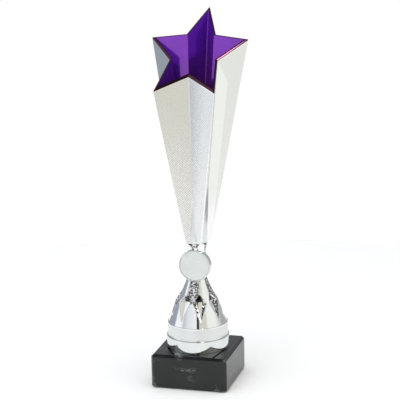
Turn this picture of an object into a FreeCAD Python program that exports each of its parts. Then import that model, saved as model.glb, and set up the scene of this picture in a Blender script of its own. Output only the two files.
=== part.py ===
"""Column trophy: a five-pointed star cup on a chromed plastic column and a marble block.

Millimetres, +Z up. The origin is the centre of the face that the trophy stands on, and the
front, with the emblem disc, faces -Y. Angles are measured from the front, positive towards +X.
Every piece is threaded onto one M6 rod, and a nut at each end pulls the stack together.
"""
import FreeCAD
import Part
import math
import os

Vector = FreeCAD.Vector
UP = Vector(0, 0, 1)
AXIS_POINT = Vector(0, 0, 0)
CUT_MARGIN = 1.0
CLOSE = 0.01

# Marble block
BASE_WIDTH = 65.0
BASE_TOP = 29.4
BASE_CHAMFER = 2.0
BASE_BOTTOM_CHAMFER = 0.8
PAD_THICKNESS = 0.8
PAD_INSET = 2.0
PAD_CORNER_RADIUS = 4.0
COUNTERBORE_RADIUS = 12.0
COUNTERBORE_DEPTH = 10.0

# M6 fixings
ROD_RADIUS = 3.0
ROD_CLEARANCE_RADIUS = 3.3
ROD_CHAMFER = 0.6
ROD_OVERHANG = 1.8
NUT_ACROSS_FLATS = 10.0
NUT_HEIGHT = 5.0
NUT_CHAMFER_SLOPE = 0.577
NUT_FACE_SHARE = 0.95
WASHER_THICKNESS = 1.6
BASE_WASHER_RADIUS = 9.0
CUP_WASHER_RADIUS = 6.0
SPRING_WASHER_RADIUS = 5.9
SPRING_WASHER_THICKNESS = 1.6
SPRING_WASHER_GAP = 1.2

# Foot ring, with a hem of five scallops
FOOT_RADIUS = 26.4
FOOT_TOP = 40.2
FOOT_WALL = 3.0
FOOT_EDGE = 0.6
FOOT_WEB = 3.0
FOOT_LOBE_RELIEF = 1.2
FOOT_LOBES = 5
FOOT_TURN = 3.5
FOOT_HEM_CLEARANCE = 0.6
FOOT_CUSP_HEIGHT = 5.2

# Knurled band
BAND_RADIUS = 25.4
BAND_TOP = 51.6
BAND_WALL = 1.8
BAND_LIP = 0.9
BAND_KNURL_DEPTH = 0.25
BAND_WEB = 3.0
BAND_EDGE = 0.5
SPIGOT_RADIUS = 19.5
UPPER_SPIGOT_RADIUS = 18.5
SPIGOT_HEIGHT = 2.0
FIT_GAP = 0.15

# Lattice bell, with eight petals below and eight legs above
BELL_PETALS = 8
BELL_TOP = 87.8
BELL_BOTTOM_RADIUS = 24.8
BELL_TOP_RADIUS = 8.9
BELL_SHAPE = [(BELL_BOTTOM_RADIUS, BAND_TOP), (23.6, 54.2), (22.3, 57.3), (21.1, 61.3), (19.6, 65.6),
              (17.9, 70.8), (15.9, 73.6), (14.2, 76.0), (12.6, 78.7), (10.9, 82.6), (9.4, 86.2),
              (BELL_TOP_RADIUS, BELL_TOP)]
RECESS_TOP = 78.3
RECESS_MIDDLE = 70.8
RECESS_BOTTOM = 55.5
RECESS_TOP_RADIUS = 12.6
RECESS_MIDDLE_RADIUS = 17.9
RECESS_BOTTOM_RADIUS = 23.05
RECESS_HALF_WIDTH = 6.5
RECESS_FLOOR_RADIUS = 12.5
RECESS_FLOOR_HALF_WIDTH = 2.6
RECESS_CREASE_RADIUS = 9.0
RECESS_CUTTER_REACH = 32.0
BELL_WALL = 2.0
RECESS_FLOOR_SINK = 0.6
FLOOR_EDGE_HEIGHT = 1.0
WINDOW_RADIUS = 13.8
WINDOW_TOP_RADIUS = 11.4
WINDOW_TOP = 77.5
BELL_BOSS_RADIUS = 6.0
BELL_GROOVE_DEPTH = 0.7
BELL_GROOVE_HALF_WIDTH = 0.55

# Neck, a fluted waist with a scalloped top edge
NECK_TOP = 120.3
NECK_TOP_RADIUS = 9.2
NECK_WAIST_RADIUS = 7.1
NECK_SHAPE = [(BELL_TOP_RADIUS, BELL_TOP), (8.0, 91.3), (7.3, 95.8), (NECK_WAIST_RADIUS, 100.8), (7.3, 105.8),
              (8.0, 111.8), (8.6, 115.8), (NECK_TOP_RADIUS, NECK_TOP)]
NECK_NOTCH_RADIUS = 2.4
NECK_NOTCH_DEPTH = 1.3

# Emblem disc and its holder
EMBLEM_HEIGHT = 101.0
HOLDER_RADIUS = 13.55
HOLDER_FRONT = 7.9
HOLDER_SEAT = 5.2
HOLDER_BACK = 2.5
HOLDER_FACE_DEPTH = 1.45
HOLDER_SKIRT_WALL = 1.6
EMBLEM_RADIUS = 12.5
EMBLEM_RECESS_RADIUS = 12.65
EMBLEM_THICKNESS = 1.0
EMBLEM_TAPE_RADIUS = 12.0
EMBLEM_TAPE_THICKNESS = 0.3
PEG_RADIUS = 2.0
PEG_LENGTH = 1.2
PEG_OVERLAP = 0.2
HOLDER_LIP_ROUND = 0.4
EMBLEM_EDGE_ROUND = 0.25

# Star cup: straight fin edges from a small star on the neck to a larger, sloping one at the rim
STAR_POINTS = 5
STAR_BOTTOM = NECK_TOP
STAR_BOTTOM_TIP = 12.35
STAR_BOTTOM_VALLEY = 7.6
RIM_TIP = 43.9
RIM_VALLEY = 21.4
RIM_STRETCH = 1.074
RIM_CENTRE = 8.8
RIM_SLOPE = 0.691
RIM_HEIGHT_AT_AXIS = 272.5
CORE_BOTTOM_RADIUS = 9.1
CORE_TOP = 172.8
CORE_TOP_RADIUS = 12.3
CORE_LEAN = 2.9
CUP_FLOOR = 4.0
CUP_BORE_BOTTOM_RADIUS = 7.4
CUP_BORE_TOP_RADIUS = 10.4
CUP_WALL = 1.0
CUP_HOLLOW_BOTTOM = 151.0
LINER_GAP = 0.15
LINER_WALL = 0.8
LINER_FLOOR_BOTTOM = 189.0
LINER_FLOOR = 1.5
LINER_LIP = 1.2
LINER_LIP_SLOPE_WIDTH = 1.4
CUTTER_MARGIN = 6.0


def cylinder(radius, bottom, top):
    """Upright cylinder on the object's axis."""
    return Part.makeCylinder(radius, top - bottom, Vector(0, 0, bottom), UP)


def tube(outer_radius, inner_radius, bottom, top):
    """Upright tube on the object's axis."""
    return cylinder(outer_radius, bottom, top).cut(cylinder(inner_radius, bottom, top))


def revolve(outline):
    """Solid made by turning a closed (radius, height) outline about the object's axis."""
    points = [Vector(radius, 0, height) for radius, height in outline]
    face = Part.Face(Part.makePolygon(points + points[:1]))
    return face.revolve(AXIS_POINT, UP, 360)


def revolve_smooth(outer_points, inner_radius):
    """Solid of revolution whose outside is one smooth curve through (radius, height) points."""
    curve = Part.BSplineCurve()
    curve.interpolate([Vector(radius, 0, height) for radius, height in outer_points])
    bottom_height = outer_points[0][1]
    top_height = outer_points[-1][1]
    inner_bottom = Vector(inner_radius, 0, bottom_height)
    inner_top = Vector(inner_radius, 0, top_height)
    outer_bottom = Vector(outer_points[0][0], 0, bottom_height)
    outer_top = Vector(outer_points[-1][0], 0, top_height)
    wire = Part.Wire([
        Part.makeLine(inner_bottom, outer_bottom),
        curve.toShape(),
        Part.makeLine(outer_top, inner_top),
        Part.makeLine(inner_top, inner_bottom),
    ])
    return Part.Face(wire).revolve(AXIS_POINT, UP, 360)


def turned(shape, degrees):
    """Copy of a shape turned about the object's axis."""
    copy = shape.copy()
    copy.rotate(AXIS_POINT, UP, degrees)
    return copy


def around(shape, count, start=0.0):
    """Copies of a shape spread evenly about the object's axis."""
    return [turned(shape, start + index * 360.0 / count) for index in range(count)]


def ruled_solid(lower, upper):
    """Solid between two closed polygons with the same number of corners."""
    wires = [Part.makePolygon(points + points[:1]) for points in (lower, upper)]
    return Part.makeLoft(wires, True, True)


def hexagon(across_flats, bottom, top):
    """Upright hexagonal prism on the object's axis."""
    corner_radius = across_flats / math.sqrt(3)
    points = []
    for index in range(6):
        angle = math.radians(60 * index)
        points.append(Vector(corner_radius * math.cos(angle), corner_radius * math.sin(angle), bottom))
    face = Part.Face(Part.makePolygon(points + points[:1]))
    return face.extrude(Vector(0, 0, top - bottom))


def nut(bottom):
    """M6 hexagon nut with both rims chamfered."""
    top = bottom + NUT_HEIGHT
    corner_radius = NUT_ACROSS_FLATS / math.sqrt(3)
    flat_radius = NUT_ACROSS_FLATS / 2 * NUT_FACE_SHARE
    drop = (corner_radius - flat_radius) * NUT_CHAMFER_SLOPE
    barrel = revolve([
        (0, bottom),
        (flat_radius, bottom),
        (corner_radius, bottom + drop),
        (corner_radius, top - drop),
        (flat_radius, top),
        (0, top),
    ])
    body = hexagon(NUT_ACROSS_FLATS, bottom, top).common(barrel)
    return body.cut(cylinder(ROD_RADIUS, bottom, top))


def washer(radius, bottom):
    """Flat washer for the M6 rod."""
    return tube(radius, ROD_CLEARANCE_RADIUS, bottom, bottom + WASHER_THICKNESS)


def spring_washer(bottom):
    """Split spring washer, pressed flat, with a radial gap."""
    ring = tube(SPRING_WASHER_RADIUS, ROD_CLEARANCE_RADIUS, bottom, bottom + SPRING_WASHER_THICKNESS)
    gap = Part.makeBox(
        SPRING_WASHER_GAP, 2 * SPRING_WASHER_RADIUS, 2 * SPRING_WASHER_THICKNESS,
        Vector(-SPRING_WASHER_GAP / 2, 0, bottom - SPRING_WASHER_THICKNESS / 2))
    return ring.cut(gap)


def base_pad():
    """Thin foam sheet under the marble, which also closes the counterbore."""
    width = BASE_WIDTH - 2 * PAD_INSET
    sheet = Part.makeBox(width, width, PAD_THICKNESS, Vector(-width / 2, -width / 2, 0))
    corners = [edge for edge in sheet.Edges if abs(edge.tangentAt(edge.FirstParameter).z) > 0.9]
    return sheet.makeFillet(PAD_CORNER_RADIUS, corners)


def marble_base():
    """Square block with chamfered edges, drilled through and counterbored from below."""
    half = BASE_WIDTH / 2
    height = BASE_TOP - PAD_THICKNESS
    block = Part.makeBox(BASE_WIDTH, BASE_WIDTH, height, Vector(-half, -half, PAD_THICKNESS))
    upper_edges = [edge for edge in block.Edges if edge.CenterOfMass.z > PAD_THICKNESS + BASE_CHAMFER]
    block = block.makeChamfer(BASE_CHAMFER, upper_edges)
    lower_edges = [edge for edge in block.Edges if abs(edge.CenterOfMass.z - PAD_THICKNESS) < CLOSE]
    block = block.makeChamfer(BASE_BOTTOM_CHAMFER, lower_edges)
    hole = cylinder(ROD_CLEARANCE_RADIUS, 0, BASE_TOP)
    counterbore = cylinder(COUNTERBORE_RADIUS, 0, PAD_THICKNESS + COUNTERBORE_DEPTH)
    return block.cut(hole.fuse(counterbore))


def foot_hem_cutter():
    """Everything under the scalloped hem: the foot's outer layer less five hanging lobes."""
    half_turn = math.pi / FOOT_LOBES
    half_chord = FOOT_RADIUS * math.sin(half_turn)
    rise = FOOT_CUSP_HEIGHT - FOOT_HEM_CLEARANCE
    lobe_radius = (half_chord ** 2 + rise ** 2) / (2 * rise)
    lobe_centre = BASE_TOP + FOOT_HEM_CLEARANCE + lobe_radius
    bottom = BASE_TOP - CUT_MARGIN
    zone = tube(FOOT_RADIUS + CUT_MARGIN, FOOT_RADIUS - FOOT_LOBE_RELIEF, bottom,
                BASE_TOP + FOOT_CUSP_HEIGHT + CUT_MARGIN)
    reach = FOOT_RADIUS + 4 * CUT_MARGIN
    side = reach * math.tan(half_turn)
    corners = [Vector(0, 0, bottom), Vector(side, -reach, bottom), Vector(-side, -reach, bottom)]
    sector = Part.Face(Part.makePolygon(corners + corners[:1])).extrude(Vector(0, 0, FOOT_TOP - BASE_TOP))
    lobe = Part.makeCylinder(lobe_radius, reach, Vector(0, 0, lobe_centre), Vector(0, -1, 0))
    under_lobe = zone.common(sector).cut(lobe)
    return around(under_lobe, FOOT_LOBES, FOOT_TURN)


def foot_ring():
    """Moulded foot: plain wall that it stands on, five hanging lobes in relief, and a top web."""
    outside = revolve([
        (0, BASE_TOP),
        (FOOT_RADIUS - FOOT_EDGE, BASE_TOP),
        (FOOT_RADIUS, BASE_TOP + 2 * FOOT_EDGE),
        (FOOT_RADIUS, FOOT_TOP - FOOT_EDGE),
        (FOOT_RADIUS - FOOT_EDGE, FOOT_TOP),
        (0, FOOT_TOP),
    ])
    web_bottom = FOOT_TOP - FOOT_WEB
    hollow = cylinder(FOOT_RADIUS - FOOT_WALL, BASE_TOP - CUT_MARGIN, web_bottom)
    ring = outside.cut([hollow, cylinder(ROD_CLEARANCE_RADIUS, BASE_TOP, FOOT_TOP)])
    ring = ring.cut(foot_hem_cutter())
    spigot = tube(SPIGOT_RADIUS, SPIGOT_RADIUS - BAND_WALL, FOOT_TOP, FOOT_TOP + SPIGOT_HEIGHT)
    return ring.fuse(spigot).removeSplitter()


def knurled_band():
    """Band with a sunk knurled zone between two lips, a top web and a locating spigot."""
    outside = revolve([
        (0, FOOT_TOP),
        (BAND_RADIUS - BAND_EDGE, FOOT_TOP),
        (BAND_RADIUS, FOOT_TOP + BAND_EDGE),
        (BAND_RADIUS, FOOT_TOP + BAND_LIP),
        (BAND_RADIUS - BAND_KNURL_DEPTH, FOOT_TOP + BAND_LIP + BAND_KNURL_DEPTH),
        (BAND_RADIUS - BAND_KNURL_DEPTH, BAND_TOP - BAND_LIP - BAND_KNURL_DEPTH),
        (BAND_RADIUS, BAND_TOP - BAND_LIP),
        (BAND_RADIUS, BAND_TOP - BAND_EDGE),
        (BAND_RADIUS - BAND_EDGE, BAND_TOP),
        (0, BAND_TOP),
    ])
    hollow = cylinder(BAND_RADIUS - BAND_WALL, FOOT_TOP - CUT_MARGIN, BAND_TOP - BAND_WEB)
    band = outside.cut([hollow, cylinder(ROD_CLEARANCE_RADIUS, FOOT_TOP, BAND_TOP)])
    seat = tube(BAND_RADIUS - BAND_WALL, SPIGOT_RADIUS + FIT_GAP, FOOT_TOP, FOOT_TOP + SPIGOT_HEIGHT)
    spigot = tube(UPPER_SPIGOT_RADIUS, UPPER_SPIGOT_RADIUS - BAND_WALL, BAND_TOP, BAND_TOP + SPIGOT_HEIGHT)
    return band.fuse([seat, spigot]).removeSplitter()


def recess_section(distance):
    """Kite-shaped section of one recess cutter, at a distance from the axis in front of it.

    The side walls are planes, so the section grows evenly with the distance.
    """
    spread = (RECESS_HALF_WIDTH - RECESS_FLOOR_HALF_WIDTH) / (RECESS_MIDDLE_RADIUS - RECESS_FLOOR_RADIUS)
    half_width = RECESS_FLOOR_HALF_WIDTH + (distance - RECESS_FLOOR_RADIUS) * spread
    top_half_width = RECESS_FLOOR_HALF_WIDTH + (RECESS_TOP_RADIUS - RECESS_FLOOR_RADIUS) * spread
    bottom_half_width = RECESS_FLOOR_HALF_WIDTH + (RECESS_BOTTOM_RADIUS - RECESS_FLOOR_RADIUS) * spread
    rise = (RECESS_TOP - RECESS_MIDDLE) * half_width / top_half_width
    drop = (RECESS_MIDDLE - RECESS_BOTTOM) * half_width / bottom_half_width
    return [
        Vector(0, -distance, RECESS_MIDDLE + rise),
        Vector(half_width, -distance, RECESS_MIDDLE),
        Vector(0, -distance, RECESS_MIDDLE - drop),
        Vector(-half_width, -distance, RECESS_MIDDLE),
    ]


def groove_cutter(bottom_radius, bottom, top_radius, top, depth, half_width):
    """Thin upright wedge that cuts a V groove into the front of the column."""
    sections = []
    for radius, height in ((bottom_radius, bottom), (top_radius, top)):
        outer = radius + CUT_MARGIN
        spread = half_width * (depth + CUT_MARGIN) / depth
        sections.append([
            Vector(0, -(radius - depth), height),
            Vector(spread, -outer, height),
            Vector(-spread, -outer, height),
        ])
    return ruled_solid(sections[0], sections[1])


def front_disc(radius, front, back):
    """Disc that faces the front at the emblem's height, between two distances in front of the axis."""
    return Part.makeCylinder(radius, front - back, Vector(0, -back, EMBLEM_HEIGHT), Vector(0, -1, 0))


def holder_seat():
    """Space in front of the column that the emblem holder's plate takes up."""
    return front_disc(HOLDER_RADIUS + FIT_GAP, 3 * HOLDER_FRONT, HOLDER_SEAT)


def lattice_bell():
    """Hollow bell with eight kite-shaped recesses that part the petals from the legs.

    A sloping floor fills each recess below its middle, and above it the recess is a window into
    the hollow bell, where a round boss surrounds the rod.
    """
    outside = revolve_smooth(BELL_SHAPE, ROD_CLEARANCE_RADIUS)
    cutter = ruled_solid(recess_section(RECESS_CREASE_RADIUS), recess_section(RECESS_CUTTER_REACH))
    half_pitch = 180.0 / BELL_PETALS
    outside = outside.cut(around(cutter, BELL_PETALS, half_pitch))
    floor_bottom_radius = RECESS_BOTTOM_RADIUS - RECESS_FLOOR_SINK
    floor = revolve([
        (ROD_CLEARANCE_RADIUS, BAND_TOP),
        (floor_bottom_radius, BAND_TOP),
        (floor_bottom_radius, RECESS_BOTTOM),
        (RECESS_FLOOR_RADIUS, RECESS_MIDDLE),
        (ROD_CLEARANCE_RADIUS, RECESS_MIDDLE),
    ])
    bell = outside.fuse(floor)
    hollow = revolve([
        (BELL_BOSS_RADIUS, BAND_TOP - CUT_MARGIN),
        (floor_bottom_radius - BELL_WALL, BAND_TOP - CUT_MARGIN),
        (floor_bottom_radius - BELL_WALL, RECESS_BOTTOM - FLOOR_EDGE_HEIGHT),
        (RECESS_FLOOR_RADIUS - BELL_WALL, RECESS_MIDDLE - FLOOR_EDGE_HEIGHT),
        (RECESS_FLOOR_RADIUS - BELL_WALL, RECESS_MIDDLE),
        (WINDOW_RADIUS, RECESS_MIDDLE),
        (WINDOW_TOP_RADIUS, WINDOW_TOP),
        (BELL_BOSS_RADIUS, WINDOW_TOP + BELL_WALL),
    ])
    groove = groove_cutter(
        RECESS_TOP_RADIUS, RECESS_TOP, BELL_TOP_RADIUS, BELL_TOP, BELL_GROOVE_DEPTH, BELL_GROOVE_HALF_WIDTH)
    return bell.cut([hollow, holder_seat()] + around(groove, BELL_PETALS, half_pitch))


def neck_collar():
    """Waisted neck with a flat front seat for the emblem holder and a scalloped top edge."""
    neck = revolve_smooth(NECK_SHAPE, ROD_CLEARANCE_RADIUS)
    half_pitch = 180.0 / BELL_PETALS
    notch_centre = Vector(0, -CUP_BORE_BOTTOM_RADIUS, NECK_TOP + NECK_NOTCH_RADIUS - NECK_NOTCH_DEPTH)
    notch = Part.makeCylinder(NECK_NOTCH_RADIUS, NECK_TOP_RADIUS, notch_centre, Vector(0, -1, 0))
    socket = front_disc(PEG_RADIUS + FIT_GAP, HOLDER_SEAT, HOLDER_SEAT - PEG_LENGTH - FIT_GAP)
    lower_groove = groove_cutter(
        BELL_TOP_RADIUS, BELL_TOP, NECK_WAIST_RADIUS, EMBLEM_HEIGHT,
        BELL_GROOVE_DEPTH, BELL_GROOVE_HALF_WIDTH)
    upper_groove = groove_cutter(
        NECK_WAIST_RADIUS, EMBLEM_HEIGHT, NECK_TOP_RADIUS, NECK_TOP,
        BELL_GROOVE_DEPTH, BELL_GROOVE_HALF_WIDTH)
    cutters = [holder_seat(), socket]
    for cutter in (notch, lower_groove, upper_groove):
        cutters.extend(around(cutter, BELL_PETALS, half_pitch))
    return neck.cut(cutters)


def emblem_holder():
    """Round holder: lip, recessed face, rear skirt that straddles the neck, and a peg."""
    drum = front_disc(HOLDER_RADIUS, HOLDER_FRONT, HOLDER_BACK)
    rim = [edge for edge in drum.Edges if abs(edge.CenterOfMass.y + HOLDER_FRONT) < CLOSE]
    drum = drum.makeFillet(HOLDER_LIP_ROUND, rim)
    recess = front_disc(EMBLEM_RECESS_RADIUS, HOLDER_FRONT + CUT_MARGIN, HOLDER_FRONT - HOLDER_FACE_DEPTH)
    back_hollow = front_disc(HOLDER_RADIUS - HOLDER_SKIRT_WALL, HOLDER_SEAT, HOLDER_BACK - CUT_MARGIN)
    neck_space = cylinder(
        NECK_TOP_RADIUS + FIT_GAP, EMBLEM_HEIGHT - 2 * HOLDER_RADIUS, EMBLEM_HEIGHT + 2 * HOLDER_RADIUS)
    front_zone = front_disc(2 * HOLDER_RADIUS, HOLDER_FRONT + CUT_MARGIN, HOLDER_SEAT)
    holder = drum.cut([recess, back_hollow, neck_space.cut(front_zone)])
    peg = front_disc(PEG_RADIUS, HOLDER_SEAT + PEG_OVERLAP, HOLDER_SEAT - PEG_LENGTH)
    return holder.fuse(peg).removeSplitter()


def emblem_tape():
    """Adhesive pad behind the emblem disc."""
    back = HOLDER_FRONT - HOLDER_FACE_DEPTH
    return front_disc(EMBLEM_TAPE_RADIUS, back + EMBLEM_TAPE_THICKNESS, back)


def emblem_disc():
    """Blank metal disc with a softened front edge."""
    back = HOLDER_FRONT - HOLDER_FACE_DEPTH + EMBLEM_TAPE_THICKNESS
    disc = front_disc(EMBLEM_RADIUS, back + EMBLEM_THICKNESS, back)
    rim = [edge for edge in disc.Edges if abs(edge.CenterOfMass.y + back + EMBLEM_THICKNESS) < CLOSE]
    return disc.makeFillet(EMBLEM_EDGE_ROUND, rim)


def star_corner(index, tip_radius, valley_radius, centre, stretch):
    """One corner of a star outline in plan: even corners are valleys, odd ones are tips."""
    radius = tip_radius if index % 2 else valley_radius
    angle = math.pi * index / STAR_POINTS
    return radius * math.sin(angle), centre - radius * math.cos(angle) * stretch


def fin_line(index):
    """Bottom and top ends of one edge of the cup, from the neck to the sloping rim."""
    bottom_x, bottom_y = star_corner(index, STAR_BOTTOM_TIP, STAR_BOTTOM_VALLEY, 0, 1)
    top_x, top_y = star_corner(index, RIM_TIP, RIM_VALLEY, RIM_CENTRE, RIM_STRETCH)
    top_z = RIM_HEIGHT_AT_AXIS + RIM_SLOPE * top_y
    return Vector(bottom_x, bottom_y, STAR_BOTTOM), Vector(top_x, top_y, top_z)


def rim_plane(drop):
    """Height and slope of a plane parallel to the rim, a vertical drop below it."""
    return RIM_HEIGHT_AT_AXIS - drop, RIM_SLOPE


def level_plane(height):
    """Height and slope of a level plane."""
    return height, 0.0


def star_outline(plane):
    """The ten points where the edges of the cup pass through a plane z = height + slope * y."""
    height, slope = plane
    points = []
    for index in range(2 * STAR_POINTS):
        bottom, top = fin_line(index)
        along = top - bottom
        share = (height + slope * bottom.y - bottom.z) / (along.z - slope * along.y)
        points.append(bottom + along * share)
    return points


def inset_outline(plane, distance):
    """Star outline on a plane, moved inwards in plan by a distance."""
    height, slope = plane
    outline = star_outline(plane)
    count = len(outline)
    moved = []
    for index in range(count):
        before = outline[index - 1]
        here = outline[index]
        after = outline[(index + 1) % count]
        first = Vector(here.x - before.x, here.y - before.y, 0).normalize()
        second = Vector(after.x - here.x, after.y - here.y, 0).normalize()
        first_normal = Vector(-first.y, first.x, 0)
        second_normal = Vector(-second.y, second.x, 0)
        middle = first_normal + second_normal
        step = middle * (distance / (1 + first_normal.dot(second_normal)))
        x = here.x + step.x
        y = here.y + step.y
        moved.append(Vector(x, y, height + slope * y))
    return moved


def leaning_cone(bottom_radius, bottom, top_radius, top, top_centre):
    """Round cone whose top circle is moved back from the axis."""
    circles = []
    for radius, height, centre in ((bottom_radius, bottom, 0), (top_radius, top, top_centre)):
        circles.append(Part.Wire(Part.makeCircle(radius, Vector(0, centre, height), UP)))
    return Part.makeLoft(circles, True, True)


def cup_shell():
    """Silver star cup: thin star walls above, and a round core with a thick floor below."""
    star = ruled_solid(star_outline(level_plane(STAR_BOTTOM)), star_outline(rim_plane(LINER_LIP)))
    core = leaning_cone(CORE_BOTTOM_RADIUS, STAR_BOTTOM, CORE_TOP_RADIUS, CORE_TOP, CORE_LEAN)
    bore = leaning_cone(
        CUP_BORE_BOTTOM_RADIUS, STAR_BOTTOM + CUP_FLOOR, CUP_BORE_TOP_RADIUS, CORE_TOP, CORE_LEAN)
    hollow = ruled_solid(
        inset_outline(level_plane(CUP_HOLLOW_BOTTOM), CUP_WALL),
        inset_outline(rim_plane(-CUTTER_MARGIN), CUP_WALL))
    hole = cylinder(ROD_CLEARANCE_RADIUS, STAR_BOTTOM, STAR_BOTTOM + CUP_FLOOR)
    return star.fuse(core).cut([hollow, bore, hole]).removeSplitter()


def cup_liner():
    """Purple star tray that drops into the cup, with a sloping lip over the edge of the cup's wall."""
    outside_inset = CUP_WALL + LINER_GAP
    inside_inset = outside_inset + LINER_WALL
    tray = ruled_solid(
        inset_outline(level_plane(LINER_FLOOR_BOTTOM), outside_inset),
        inset_outline(rim_plane(LINER_LIP / 2), outside_inset))
    lip = ruled_solid(star_outline(rim_plane(LINER_LIP)), inset_outline(rim_plane(0), LINER_LIP_SLOPE_WIDTH))
    hollow = ruled_solid(
        inset_outline(level_plane(LINER_FLOOR_BOTTOM + LINER_FLOOR), inside_inset),
        inset_outline(rim_plane(-CUTTER_MARGIN), inside_inset))
    return tray.fuse(lip).cut(hollow).removeSplitter()


def tie_rod(bottom, top):
    """M6 rod with chamfered ends."""
    return revolve([
        (0, bottom),
        (ROD_RADIUS - ROD_CHAMFER, bottom),
        (ROD_RADIUS, bottom + ROD_CHAMFER),
        (ROD_RADIUS, top - ROD_CHAMFER),
        (ROD_RADIUS - ROD_CHAMFER, top),
        (0, top),
    ])


def build():
    """All pieces by node name."""
    base_washer_bottom = PAD_THICKNESS + COUNTERBORE_DEPTH - WASHER_THICKNESS
    spring_washer_bottom = base_washer_bottom - SPRING_WASHER_THICKNESS
    base_nut_bottom = spring_washer_bottom - NUT_HEIGHT
    cup_washer_bottom = STAR_BOTTOM + CUP_FLOOR
    cup_nut_bottom = cup_washer_bottom + WASHER_THICKNESS
    rod_bottom = base_nut_bottom - ROD_OVERHANG / 2
    rod_top = cup_nut_bottom + NUT_HEIGHT + ROD_OVERHANG
    return {
        "base_pad": base_pad(),
        "marble_base": marble_base(),
        "base_washer": washer(BASE_WASHER_RADIUS, base_washer_bottom),
        "spring_washer": spring_washer(spring_washer_bottom),
        "base_nut": nut(base_nut_bottom),
        "tie_rod": tie_rod(rod_bottom, rod_top),
        "foot_ring": foot_ring(),
        "knurled_band": knurled_band(),
        "lattice_bell": lattice_bell(),
        "neck_collar": neck_collar(),
        "emblem_holder": emblem_holder(),
        "emblem_tape": emblem_tape(),
        "emblem_disc": emblem_disc(),
        "cup_shell": cup_shell(),
        "cup_liner": cup_liner(),
        "cup_washer": washer(CUP_WASHER_RADIUS, cup_washer_bottom),
        "cup_nut": nut(cup_nut_bottom),
    }


def main():
    os.makedirs("parts", exist_ok=True)
    for name, shape in build().items():
        box = shape.BoundBox
        print("%-15s solids %d valid %s volume %.1f z %.2f to %.2f" % (
            name, len(shape.Solids), shape.isValid(), shape.Volume, box.ZMin, box.ZMax))
        shape.exportStep("parts/" + name + ".step")


main()
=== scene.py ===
"""Column trophy: visible pieces, materials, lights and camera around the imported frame.

Outlines are worked out in millimetres and scaled to metres when a mesh is made. Angles about the
axis are measured from the front (-Y), positive towards +X, in degrees.
"""

import math

import bmesh
import bpy
from mathutils import Matrix, Vector, noise


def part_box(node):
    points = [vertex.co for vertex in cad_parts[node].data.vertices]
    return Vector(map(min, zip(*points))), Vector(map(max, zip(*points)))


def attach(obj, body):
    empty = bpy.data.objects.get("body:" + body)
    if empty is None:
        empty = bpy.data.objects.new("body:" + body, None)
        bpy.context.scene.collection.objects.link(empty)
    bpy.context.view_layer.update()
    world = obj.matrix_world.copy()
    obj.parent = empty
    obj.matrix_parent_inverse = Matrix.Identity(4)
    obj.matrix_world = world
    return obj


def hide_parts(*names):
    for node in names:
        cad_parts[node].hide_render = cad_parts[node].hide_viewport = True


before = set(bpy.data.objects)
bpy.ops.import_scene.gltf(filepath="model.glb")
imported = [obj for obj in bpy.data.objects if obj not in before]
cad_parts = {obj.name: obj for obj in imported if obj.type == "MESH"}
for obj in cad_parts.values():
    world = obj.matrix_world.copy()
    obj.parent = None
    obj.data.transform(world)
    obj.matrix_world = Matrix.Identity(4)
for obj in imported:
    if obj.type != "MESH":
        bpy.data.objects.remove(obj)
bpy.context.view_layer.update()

MM = 0.001


def height_range(node):
    """Lowest and highest point of a CAD node, in millimetres."""
    low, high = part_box(node)
    return low.z / MM, high.z / MM


# Heights and radii that come from the frame
FOOT_BOTTOM = height_range("foot_ring")[0]
BAND_BOTTOM = height_range("knurled_band")[0]
BELL_BOTTOM, BELL_TOP = height_range("lattice_bell")
NECK_TOP = height_range("neck_collar")[1]
STAR_BOTTOM = height_range("cup_shell")[0]
LINER_BOTTOM = height_range("cup_liner")[0]
FOOT_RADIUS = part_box("foot_ring")[1].x / MM
BAND_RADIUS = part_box("knurled_band")[1].x / MM
HOLDER_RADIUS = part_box("emblem_holder")[1].x / MM
EMBLEM_HEIGHT = sum(height_range("emblem_disc")) / 2
EMBLEM_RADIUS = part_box("emblem_disc")[1].x / MM
EMBLEM_FRONT = -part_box("emblem_disc")[0].y / MM
EMBLEM_BACK = -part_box("emblem_disc")[1].y / MM

ROD_CLEARANCE_RADIUS = 3.3

# The column repeats every 45 degrees: legs at the pitch, recesses and grooves half-way between
LEG_PITCH = 45.0
HAMMERED_PITCH = 90.0
HAMMERED_HALF_ANGLE = 22.5

# Foot ring
FOOT_WALL = 3.0
FOOT_LOBE_RELIEF = 1.2
FOOT_WEB = 3.0
FOOT_LOBES = 5
FOOT_TURN = 3.5
FOOT_HEM_CLEARANCE = 0.6
FOOT_CUSP_HEIGHT = 5.2
FOOT_EDGE = 0.5
FOOT_LOWER_EDGE = 0.2
FOOT_COLUMNS = 400
FOOT_ROWS = 8

# Knurled band
BAND_WALL = 1.8
BAND_LIP = 0.9
BAND_WEB = 3.0
BAND_EDGE = 0.35
KNURL_DEPTH = 0.25
KNURL_LEAST_SHARE = 0.35
KNURL_COUNT = 112
KNURL_HEIGHT = 1.42
KNURL_STEPS = 7
KNURL_BRIGHT = (0.90, 0.915, 0.915)
# Painted shade at the bottom of the knurl's grooves
KNURL_GROOVE_SHADE = (0.66, 0.675, 0.675)
KNURL_ROWS = 46

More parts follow.
